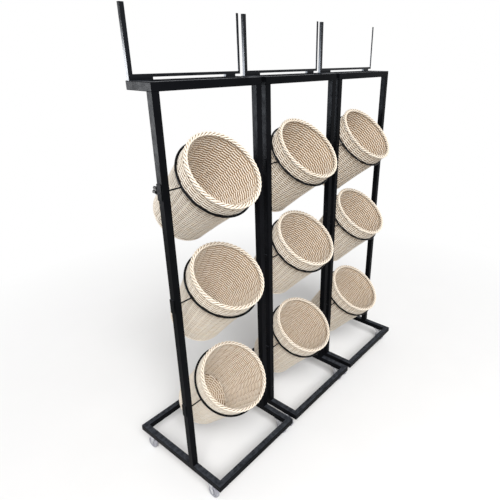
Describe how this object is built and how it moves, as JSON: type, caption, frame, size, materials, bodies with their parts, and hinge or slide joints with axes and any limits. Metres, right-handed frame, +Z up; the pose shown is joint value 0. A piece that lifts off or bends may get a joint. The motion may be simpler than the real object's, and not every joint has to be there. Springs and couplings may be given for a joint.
{
  "type": "basket display rack",
  "caption": "Row of black square-tube rack units on casters, each with tilting wire rings that hold round woven baskets and a sign holder on top.",
  "frame": {"origin": "on the floor under the middle of the row of units", "axes": "+X to the right along the row, +Y to the back, +Z up; the baskets tip towards -Y"},
  "size_m": [1.368, 0.488, 1.6935],
  "materials": {
    "black_powder_coat": "semi-gloss powder coat",
    "black_wire": "satin powder coat",
    "cream_rattan": "matt woven rattan",
    "black_knob": "moulded, matt",
    "zinc_caster": "bright zinc plate",
    "grey_wheel": "pale grey moulded wheel"
  },
  "bodies": {
    "rack": {"base_frame_1": "black_powder_coat", "uprights_1": "black_powder_coat", "top_frame_1": "black_powder_coat", "sign_holder_1": "black_powder_coat", "base_frame_2": "black_powder_coat", "uprights_2": "black_powder_coat", "top_frame_2": "black_powder_coat", "sign_holder_2": "black_powder_coat", "base_frame_3": "black_powder_coat", "uprights_3": "black_powder_coat", "top_frame_3": "black_powder_coat", "sign_holder_3": "black_powder_coat", "sign_holder_screws": "zinc_caster", "pivot_plates": "black_powder_coat", "caster_plates": "zinc_caster"},
    "ring_1_bottom": {"basket_ring_1_bottom": "black_wire"},
    "basket_1_bottom": {"basket_1_bottom": "cream_rattan"},
    "ring_1_middle": {"basket_ring_1_middle": "black_wire"},
    "basket_1_middle": {"basket_1_middle": "cream_rattan"},
    "ring_1_top": {"basket_ring_1_top": "black_wire"},
    "basket_1_top": {"basket_1_top": "cream_rattan"},
    "knob_1": {"clamp_knob_1": "black_knob"},
    "fork_1_front_left": {"caster_fork_1_front_left": "zinc_caster"},
    "wheel_1_front_left": {"caster_wheel_1_front_left": "grey_wheel"},
    "fork_1_front_right": {"caster_fork_1_front_right": "zinc_caster"},
    "wheel_1_front_right": {"caster_wheel_1_front_right": "grey_wheel"},
    "fork_1_back_left": {"caster_fork_1_back_left": "zinc_caster"},
    "wheel_1_back_left": {"caster_wheel_1_back_left": "grey_wheel"},
    "fork_1_back_right": {"caster_fork_1_back_right": "zinc_caster"},
    "wheel_1_back_right": {"caster_wheel_1_back_right": "grey_wheel"},
    "ring_2_bottom": {"basket_ring_2_bottom": "black_wire"},
    "basket_2_bottom": {"basket_2_bottom": "cream_rattan"},
    "ring_2_middle": {"basket_ring_2_middle": "black_wire"},
    "basket_2_middle": {"basket_2_middle": "cream_rattan"},
    "ring_2_top": {"basket_ring_2_top": "black_wire"},
    "basket_2_top": {"basket_2_top": "cream_rattan"},
    "knob_2": {"clamp_knob_2": "black_knob"},
    "fork_2_front_left": {"caster_fork_2_front_left": "zinc_caster"},
    "wheel_2_front_left": {"caster_wheel_2_front_left": "grey_wheel"},
    "fork_2_front_right": {"caster_fork_2_front_right": "zinc_caster"},
    "wheel_2_front_right": {"caster_wheel_2_front_right": "grey_wheel"},
    "fork_2_back_left": {"caster_fork_2_back_left": "zinc_caster"},
    "wheel_2_back_left": {"caster_wheel_2_back_left": "grey_wheel"},
    "fork_2_back_right": {"caster_fork_2_back_right": "zinc_caster"},
    "wheel_2_back_right": {"caster_wheel_2_back_right": "grey_wheel"},
    "ring_3_bottom": {"basket_ring_3_bottom": "black_wire"},
    "basket_3_bottom": {"basket_3_bottom": "cream_rattan"},
    "ring_3_middle": {"basket_ring_3_middle": "black_wire"},
    "basket_3_middle": {"basket_3_middle": "cream_rattan"},
    "ring_3_top": {"basket_ring_3_top": "black_wire"},
    "basket_3_top": {"basket_3_top": "cream_rattan"},
    "knob_3": {"clamp_knob_3": "black_knob"},
    "fork_3_front_left": {"caster_fork_3_front_left": "zinc_caster"},
    "wheel_3_front_left": {"caster_wheel_3_front_left": "grey_wheel"},
    "fork_3_front_right": {"caster_fork_3_front_right": "zinc_caster"},
    "wheel_3_front_right": {"caster_wheel_3_front_right": "grey_wheel"},
    "fork_3_back_left": {"caster_fork_3_back_left": "zinc_caster"},
    "wheel_3_back_left": {"caster_wheel_3_back_left": "grey_wheel"},
    "fork_3_back_right": {"caster_fork_3_back_right": "zinc_caster"},
    "wheel_3_back_right": {"caster_wheel_3_back_right": "grey_wheel"}
  },
  "joints": [
    {"name": "tilt_1_bottom", "type": "hinge", "parent": "rack", "child": "ring_1_bottom", "pos_m": [-0.461, -0.0825, 0.37099], "axis": [1, 0, 0], "range_deg": [-16, 33]},
    {"name": "lift_1_bottom", "type": "slide", "parent": "ring_1_bottom", "child": "basket_1_bottom", "axis": [0, -0.6691, 0.7431], "range_m": [0, 0.33]},
    {"name": "tilt_1_middle", "type": "hinge", "parent": "rack", "child": "ring_1_middle", "pos_m": [-0.461, -0.0825, 0.81096], "axis": [1, 0, 0], "range_deg": [-4, 37]},
    {"name": "lift_1_middle", "type": "slide", "parent": "ring_1_middle", "child": "basket_1_middle", "axis": [0, -0.6157, 0.788], "range_m": [0, 0.04]},
    {"name": "tilt_1_top", "type": "hinge", "parent": "rack", "child": "ring_1_top", "pos_m": [-0.461, -0.0825, 1.19599], "axis": [1, 0, 0], "range_deg": [-5, 25]},
    {"name": "lift_1_top", "type": "slide", "parent": "ring_1_top", "child": "basket_1_top", "axis": [0, -0.766, 0.6428], "range_m": [0, 0.33]},
    {"name": "knob_1_turn", "type": "hinge", "parent": "rack", "child": "knob_1", "pos_m": [-0.6675, -0.07, 1.19599], "axis": [0, 1, 0], "range_deg": [0, 360]},
    {"name": "swivel_1_front_left", "type": "hinge", "parent": "rack", "child": "fork_1_front_left", "pos_m": [-0.6655, -0.179, 0.072], "axis": [0, 0, 1], "continuous": true},
    {"name": "roll_1_front_left", "type": "hinge", "parent": "fork_1_front_left", "child": "wheel_1_front_left", "pos_m": [-0.6655, -0.191, 0.025], "axis": [1, 0, 0], "continuous": true},
    {"name": "swivel_1_front_right", "type": "hinge", "parent": "rack", "child": "fork_1_front_right", "pos_m": [-0.2565, -0.179, 0.072], "axis": [0, 0, 1], "continuous": true},
    {"name": "roll_1_front_right", "type": "hinge", "parent": "fork_1_front_right", "child": "wheel_1_front_right", "pos_m": [-0.2565, -0.191, 0.025], "axis": [1, 0, 0], "continuous": true},
    {"name": "swivel_1_back_left", "type": "hinge", "parent": "rack", "child": "fork_1_back_left", "pos_m": [-0.6655, 0.179, 0.072], "axis": [0, 0, 1], "continuous": true},
    {"name": "roll_1_back_left", "type": "hinge", "parent": "fork_1_back_left", "child": "wheel_1_back_left", "pos_m": [-0.6655, 0.191, 0.025], "axis": [1, 0, 0], "continuous": true},
    {"name": "swivel_1_back_right", "type": "hinge", "parent": "rack", "child": "fork_1_back_right", "pos_m": [-0.2565, 0.179, 0.072], "axis": [0, 0, 1], "continuous": true},
    {"name": "roll_1_back_right", "type": "hinge", "parent": "fork_1_back_right", "child": "wheel_1_back_right", "pos_m": [-0.2565, 0.191, 0.025], "axis": [1, 0, 0], "continuous": true},
    {"name": "tilt_2_bottom", "type": "hinge", "parent": "rack", "child": "ring_2_bottom", "pos_m": [0, -0.0825, 0.37099], "axis": [1, 0, 0], "range_deg": [-11, 38]},
    {"name": "lift_2_bottom", "type": "slide", "parent": "ring_2_bottom", "child": "basket_2_bottom", "axis": [0, -0.6018, 0.7986], "range_m": [0, 0.12]},
    {"name": "tilt_2_middle", "type": "hinge", "parent": "rack", "child": "ring_2_middle", "pos_m": [0, -0.0825, 0.81096], "axis": [1, 0, 0], "range_deg": [-6, 35]},
    {"name": "lift_2_middle", "type": "slide", "parent": "ring_2_middle", "child": "basket_2_middle", "axis": [0, -0.6428, 0.766], "range_m": [0, 0.04]},
    {"name": "tilt_2_top", "type": "hinge", "parent": "rack", "child": "ring_2_top", "pos_m": [0, -0.0825, 1.19599], "axis": [1, 0, 0], "range_deg": [-1, 29]},
    {"name": "lift_2_top", "type": "slide", "parent": "ring_2_top", "child": "basket_2_top", "axis": [0, -0.7193, 0.6947], "range_m": [0, 0.33]},
    {"name": "knob_2_turn", "type": "hinge", "parent": "rack", "child": "knob_2", "pos_m": [-0.2065, -0.07, 1.19599], "axis": [0, 1, 0], "range_deg": [0, 360]},
    {"name": "swivel_2_front_left", "type": "hinge", "parent": "rack", "child": "fork_2_front_left", "pos_m": [-0.2045, -0.179, 0.072], "axis": [0, 0, 1], "continuous": true},
    {"name": "roll_2_front_left", "type": "hinge", "parent": "fork_2_front_left", "child": "wheel_2_front_left", "pos_m": [-0.2045, -0.191, 0.025], "axis": [1, 0, 0], "continuous": true},
    {"name": "swivel_2_front_right", "type": "hinge", "parent": "rack", "child": "fork_2_front_right", "pos_m": [0.2045, -0.179, 0.072], "axis": [0, 0, 1], "continuous": true},
    {"name": "roll_2_front_right", "type": "hinge", "parent": "fork_2_front_right", "child": "wheel_2_front_right", "pos_m": [0.2045, -0.191, 0.025], "axis": [1, 0, 0], "continuous": true},
    {"name": "swivel_2_back_left", "type": "hinge", "parent": "rack", "child": "fork_2_back_left", "pos_m": [-0.2045, 0.179, 0.072], "axis": [0, 0, 1], "continuous": true},
    {"name": "roll_2_back_left", "type": "hinge", "parent": "fork_2_back_left", "child": "wheel_2_back_left", "pos_m": [-0.2045, 0.191, 0.025], "axis": [1, 0, 0], "continuous": true},
    {"name": "swivel_2_back_right", "type": "hinge", "parent": "rack", "child": "fork_2_back_right", "pos_m": [0.2045, 0.179, 0.072], "axis": [0, 0, 1], "continuous": true},
    {"name": "roll_2_back_right", "type": "hinge", "parent": "fork_2_back_right", "child": "wheel_2_back_right", "pos_m": [0.2045, 0.191, 0.025], "axis": [1, 0, 0], "continuous": true},
    {"name": "tilt_3_bottom", "type": "hinge", "parent": "rack", "child": "ring_3_bottom", "pos_m": [0.461, -0.0825, 0.37099], "axis": [1, 0, 0], "range_deg": [-12, 37]},
    {"name": "lift_3_bottom", "type": "slide", "parent": "ring_3_bottom", "child": "basket_3_bottom", "axis": [0, -0.6157, 0.788], "range_m": [0, 0.12]},
    {"name": "tilt_3_middle", "type": "hinge", "parent": "rack", "child": "ring_3_middle", "pos_m": [0.461, -0.0825, 0.81096], "axis": [1, 0, 0], "range_deg": [-6, 35]},
    {"name": "lift_3_middle", "type": "slide", "parent": "ring_3_middle", "child": "basket_3_middle", "axis": [0, -0.6428, 0.766], "range_m": [0, 0.04]},
    {"name": "tilt_3_top", "type": "hinge", "parent": "rack", "child": "ring_3_top", "pos_m": [0.461, -0.0825, 1.19599], "axis": [1, 0, 0], "range_deg": [-1, 29]},
    {"name": "lift_3_top", "type": "slide", "parent": "ring_3_top", "child": "basket_3_top", "axis": [0, -0.7193, 0.6947], "range_m": [0, 0.33]},
    {"name": "knob_3_turn", "type": "hinge", "parent": "rack", "child": "knob_3", "pos_m": [0.2545, -0.07, 1.19599], "axis": [0, 1, 0], "range_deg": [0, 360]},
    {"name": "swivel_3_front_left", "type": "hinge", "parent": "rack", "child": "fork_3_front_left", "pos_m": [0.2565, -0.179, 0.072], "axis": [0, 0, 1], "continuous": true},
    {"name": "roll_3_front_left", "type": "hinge", "parent": "fork_3_front_left", "child": "wheel_3_front_left", "pos_m": [0.2565, -0.191, 0.025], "axis": [1, 0, 0], "continuous": true},
    {"name": "swivel_3_front_right", "type": "hinge", "parent": "rack", "child": "fork_3_front_right", "pos_m": [0.6655, -0.179, 0.072], "axis": [0, 0, 1], "continuous": true},
    {"name": "roll_3_front_right", "type": "hinge", "parent": "fork_3_front_right", "child": "wheel_3_front_right", "pos_m": [0.6655, -0.191, 0.025], "axis": [1, 0, 0], "continuous": true},
    {"name": "swivel_3_back_left", "type": "hinge", "parent": "rack", "child": "fork_3_back_left", "pos_m": [0.2565, 0.179, 0.072], "axis": [0, 0, 1], "continuous": true},
    {"name": "roll_3_back_left", "type": "hinge", "parent": "fork_3_back_left", "child": "wheel_3_back_left", "pos_m": [0.2565, 0.191, 0.025], "axis": [1, 0, 0], "continuous": true},
    {"name": "swivel_3_back_right", "type": "hinge", "parent": "rack", "child": "fork_3_back_right", "pos_m": [0.6655, 0.179, 0.072], "axis": [0, 0, 1], "continuous": true},
    {"name": "roll_3_back_right", "type": "hinge", "parent": "fork_3_back_right", "child": "wheel_3_back_right", "pos_m": [0.6655, 0.191, 0.025], "axis": [1, 0, 0], "continuous": true}
  ]
}
